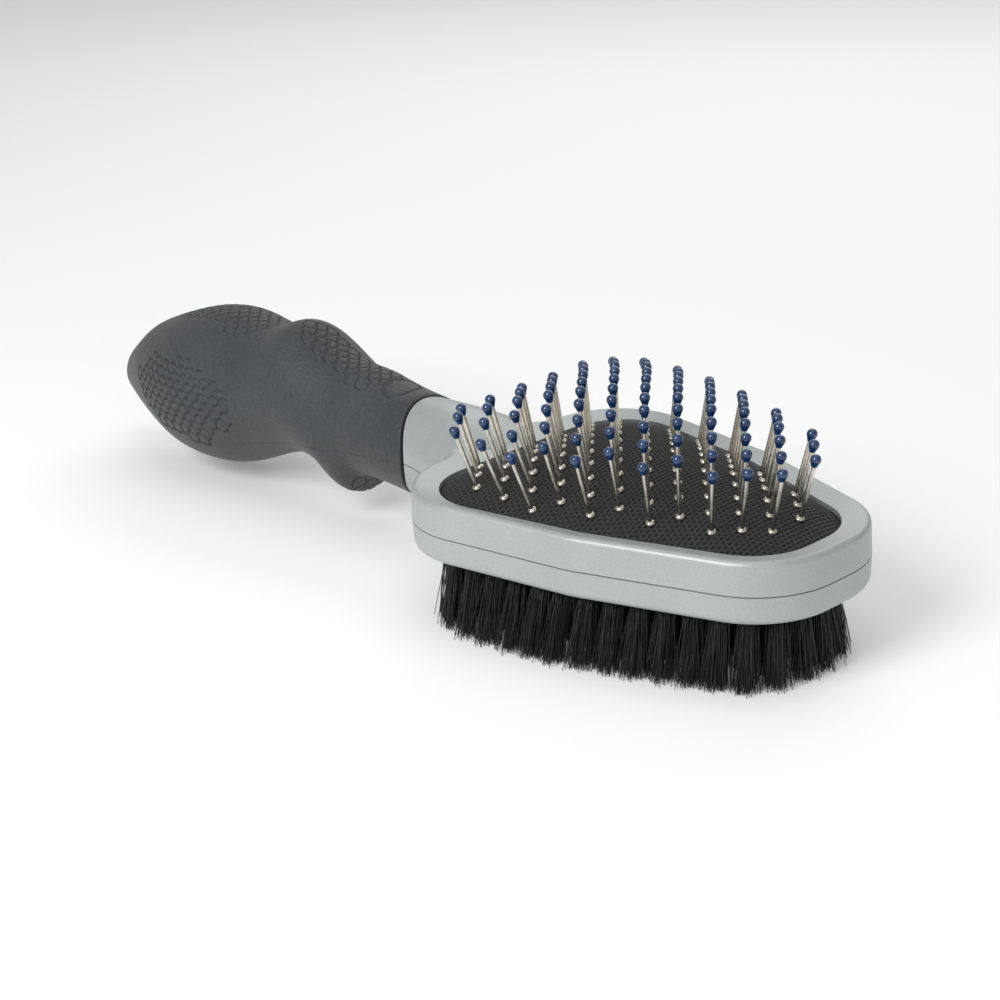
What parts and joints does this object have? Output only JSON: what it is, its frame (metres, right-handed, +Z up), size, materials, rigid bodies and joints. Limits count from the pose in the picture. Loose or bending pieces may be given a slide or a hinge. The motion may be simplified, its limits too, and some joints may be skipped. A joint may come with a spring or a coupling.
{
  "type": "two-sided pet brush",
  "caption": "Hand-held two-sided pet grooming brush: ball-tipped pins on a sprung air cushion on one face, a trimmed bristle field on the other, and a contoured rubber grip.",
  "frame": {"origin": "on the plane of the trimmed bristle ends, under the middle of the brush's length", "axes": "+X along the brush towards the head's tip, +Y to the brush's left, +Z up towards the pin side"},
  "size_m": [0.2406, 0.074, 0.051],
  "materials": {
    "silver_shell": "satin metallic silver",
    "grip_rubber": "matte, fine grain",
    "cushion_rubber": "matte mesh weave",
    "pin_steel": "nickel bright wire",
    "tip_blue": "glossy navy blue",
    "bristle": "black nylon with a slight gloss",
    "block_plastic": "matte",
    "core_plastic": "matte"
  },
  "bodies": {
    "brush_frame": {"air_chamber_tray": "core_plastic", "bristle_block": "block_plastic", "bristle_tufts_border": "bristle", "bristle_tufts_row_01": "bristle", "bristle_tufts_row_02": "bristle", "bristle_tufts_row_03": "bristle", "bristle_tufts_row_04": "bristle", "bristle_tufts_row_05": "bristle", "bristle_tufts_row_06": "bristle", "bristle_tufts_row_07": "bristle", "bristle_tufts_row_08": "bristle", "bristle_tufts_row_09": "bristle", "cushion_clamp_ring": "core_plastic", "cushion_membrane": "cushion_rubber", "handle_core": "core_plastic", "lower_shell": "silver_shell", "rubber_grip": "grip_rubber", "tuft_anchors": "pin_steel", "upper_shell": "silver_shell"},
    "pin_field": {"ball_tips_row_01": "tip_blue", "ball_tips_row_02": "tip_blue", "ball_tips_row_03": "tip_blue", "ball_tips_row_04": "tip_blue", "ball_tips_row_05": "tip_blue", "ball_tips_row_06": "tip_blue", "ball_tips_row_07": "tip_blue", "ball_tips_row_08": "tip_blue", "ball_tips_row_09": "tip_blue", "ball_tips_row_10": "tip_blue", "ball_tips_row_11": "tip_blue", "ball_tips_row_12": "tip_blue", "ball_tips_row_13": "tip_blue", "pin_row_01": "pin_steel", "pin_row_02": "pin_steel", "pin_row_03": "pin_steel", "pin_row_04": "pin_steel", "pin_row_05": "pin_steel", "pin_row_06": "pin_steel", "pin_row_07": "pin_steel", "pin_row_08": "pin_steel", "pin_row_09": "pin_steel", "pin_row_10": "pin_steel", "pin_row_11": "pin_steel", "pin_row_12": "pin_steel", "pin_row_13": "pin_steel"}
  },
  "joints": [
    {"name": "cushion_press", "type": "slide", "parent": "brush_frame", "child": "pin_field", "axis": [0, 0, -1], "range_m": [0, 0.002], "stiffness_N_per_m": 3000, "deforming": ["cushion_membrane"]}
  ]
}
